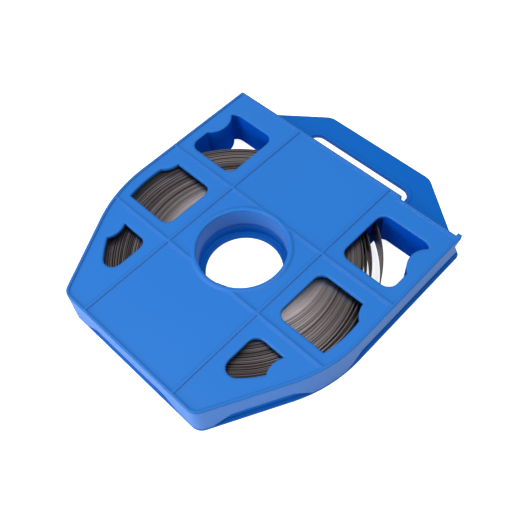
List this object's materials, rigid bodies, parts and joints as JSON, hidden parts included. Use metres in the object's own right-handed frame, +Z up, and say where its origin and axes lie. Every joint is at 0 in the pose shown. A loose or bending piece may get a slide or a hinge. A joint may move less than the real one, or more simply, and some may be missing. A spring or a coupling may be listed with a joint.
{
  "type": "banding strap coil in dispenser case",
  "caption": "Coil of flat stainless steel banding strap in a moulded blue plastic dispenser with a hub bore, windows and a carrying handle.",
  "frame": {"origin": "middle of the floor print, on the rear face that the dispenser lies on", "axes": "+Z up out of the rear plate, along the hub; +Y towards the handle; +X towards the side with the band outlet's open corner"},
  "size_m": [0.2064, 0.2524, 0.028],
  "materials": {
    "front_shell": "moulded, satin",
    "rear_shell": "moulded, satin",
    "band_coil": "rolled and slit stainless strip"
  },
  "bodies": {
    "root": {"front_shell": "front_shell", "rear_shell": "rear_shell", "band_coil": "band_coil"}
  },
  "joints": []
}
